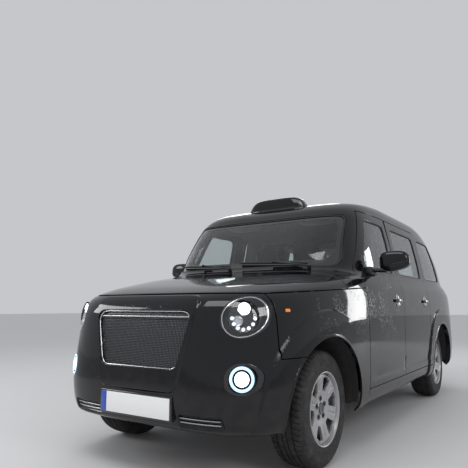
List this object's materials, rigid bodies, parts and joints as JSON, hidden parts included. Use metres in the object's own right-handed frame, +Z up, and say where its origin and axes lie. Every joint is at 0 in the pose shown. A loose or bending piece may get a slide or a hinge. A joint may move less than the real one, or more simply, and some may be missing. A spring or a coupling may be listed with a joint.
{
  "type": "taxi cab",
  "caption": "Tall black taxi cab with a roof sign, round lamps, four passenger doors, a glazed cabin with a partition, steered front wheels and opening lids.",
  "frame": {"origin": "on the ground under the middle of the cab's overall box", "axes": "+Z up, the cab faces -Y, and its left side is at +X"},
  "size_m": [2.24, 4.6, 1.862],
  "materials": {
    "black_paint": "deep gloss",
    "tinted_glass": "clear, lightly tinted",
    "lamp_lens": "clear polished",
    "red_lens": "gloss",
    "black_plastic": "fine grain",
    "grille_mesh": "dark satin",
    "tyre_rubber": "matt",
    "wheel_alloy": "painted silver",
    "chassis_steel": "satin black",
    "seat_cloth": "woven",
    "sign_black": "gloss"
  },
  "bodies": {
    "body": {"body_shell": "black_paint", "front_bumper": "black_paint", "rear_bumper": "black_paint", "wing_left": "black_paint", "wing_right": "black_paint", "windscreen": "tinted_glass", "quarter_glass_left": "tinted_glass", "quarter_glass_right": "tinted_glass", "headlamp_left": "lamp_lens", "fog_lamp_left": "lamp_lens", "tail_lamp_left": "red_lens", "headlamp_right": "lamp_lens", "fog_lamp_right": "lamp_lens", "tail_lamp_right": "red_lens", "grille": "grille_mesh", "floor_pan": "chassis_steel", "front_subframe": "chassis_steel", "rear_axle": "chassis_steel", "engine_block": "chassis_steel", "roof_sign": "sign_black", "dashboard": "black_plastic", "partition": "black_plastic", "driver_seat": "seat_cloth", "rear_bench": "seat_cloth"},
    "wheel_front_left": {"tyre_front_left": "tyre_rubber", "rim_front_left": "wheel_alloy"},
    "wheel_front_right": {"tyre_front_right": "tyre_rubber", "rim_front_right": "wheel_alloy"},
    "wheel_rear_left": {"tyre_rear_left": "tyre_rubber", "rim_rear_left": "wheel_alloy"},
    "wheel_rear_right": {"tyre_rear_right": "tyre_rubber", "rim_rear_right": "wheel_alloy"},
    "steered_left": {"knuckle_left": "chassis_steel"},
    "steered_right": {"knuckle_right": "chassis_steel"},
    "hand_wheel": {"steering_wheel": "black_plastic"},
    "front_door_left": {"door_front_left": "black_paint", "door_glass_front_left": "tinted_glass", "mirror_left": "black_paint"},
    "front_door_right": {"door_front_right": "black_paint", "door_glass_front_right": "tinted_glass", "mirror_right": "black_paint"},
    "rear_door_left": {"door_rear_left": "black_paint", "door_glass_rear_left": "tinted_glass"},
    "rear_door_right": {"door_rear_right": "black_paint", "door_glass_rear_right": "tinted_glass"},
    "bonnet_lid": {"bonnet": "black_paint"},
    "tailgate_lid": {"tailgate": "black_paint", "tailgate_glass": "tinted_glass"}
  },
  "joints": [
    {"name": "steer_left", "type": "hinge", "parent": "body", "child": "steered_left", "pos_m": [0.65997, -1.555, 0.335], "axis": [0, 0, 1], "range_deg": [-35, 35]},
    {"name": "steer_right", "type": "hinge", "parent": "body", "child": "steered_right", "pos_m": [-0.65997, -1.555, 0.335], "axis": [0, 0, 1], "range_deg": [-35, 35]},
    {"name": "steering_wheel_turn", "type": "hinge", "parent": "body", "child": "hand_wheel", "pos_m": [-0.36999, -0.62, 1.01], "axis": [0, 0.8829, 0.4695], "range_deg": [-500, 500]},
    {"name": "wheel_front_left_spin", "type": "hinge", "parent": "steered_left", "child": "wheel_front_left", "pos_m": [0.71251, -1.555, 0.335], "axis": [1, 0, 0], "continuous": true},
    {"name": "wheel_rear_left_spin", "type": "hinge", "parent": "body", "child": "wheel_rear_left", "pos_m": [0.71251, 1.325, 0.335], "axis": [1, 0, 0], "continuous": true},
    {"name": "wheel_front_right_spin", "type": "hinge", "parent": "steered_right", "child": "wheel_front_right", "pos_m": [-0.71251, -1.555, 0.335], "axis": [1, 0, 0], "continuous": true},
    {"name": "wheel_rear_right_spin", "type": "hinge", "parent": "body", "child": "wheel_rear_right", "pos_m": [-0.71251, 1.325, 0.335], "axis": [1, 0, 0], "continuous": true},
    {"name": "door_front_left_hinge", "type": "hinge", "parent": "body", "child": "front_door_left", "pos_m": [0.88584, -0.94, 0.76], "axis": [0, 0, 1], "range_deg": [-65, 0]},
    {"name": "door_front_right_hinge", "type": "hinge", "parent": "body", "child": "front_door_right", "pos_m": [-0.88584, -0.94, 0.76], "axis": [0, 0, 1], "range_deg": [0, 65]},
    {"name": "door_rear_left_hinge", "type": "hinge", "parent": "body", "child": "rear_door_left", "pos_m": [0.89008, -0.064, 0.76], "axis": [0, 0, 1], "range_deg": [-65, 0]},
    {"name": "door_rear_right_hinge", "type": "hinge", "parent": "body", "child": "rear_door_right", "pos_m": [-0.89008, -0.064, 0.76], "axis": [0, 0, 1], "range_deg": [0, 65]},
    {"name": "bonnet_hinge", "type": "hinge", "parent": "body", "child": "bonnet_lid", "pos_m": [0, -1.281, 1.18015], "axis": [1, 0, 0], "range_deg": [-50, 0]},
    {"name": "tailgate_hinge", "type": "hinge", "parent": "body", "child": "tailgate_lid", "pos_m": [0, 1.84989, 1.64402], "axis": [1, 0, 0], "range_deg": [0, 80]}
  ],
  "couplings": [
    {"joint": "steer_right", "follows": "steer_left", "ratio": 1},
    {"joint": "steering_wheel_turn", "follows": "steer_left", "ratio": 14}
  ]
}
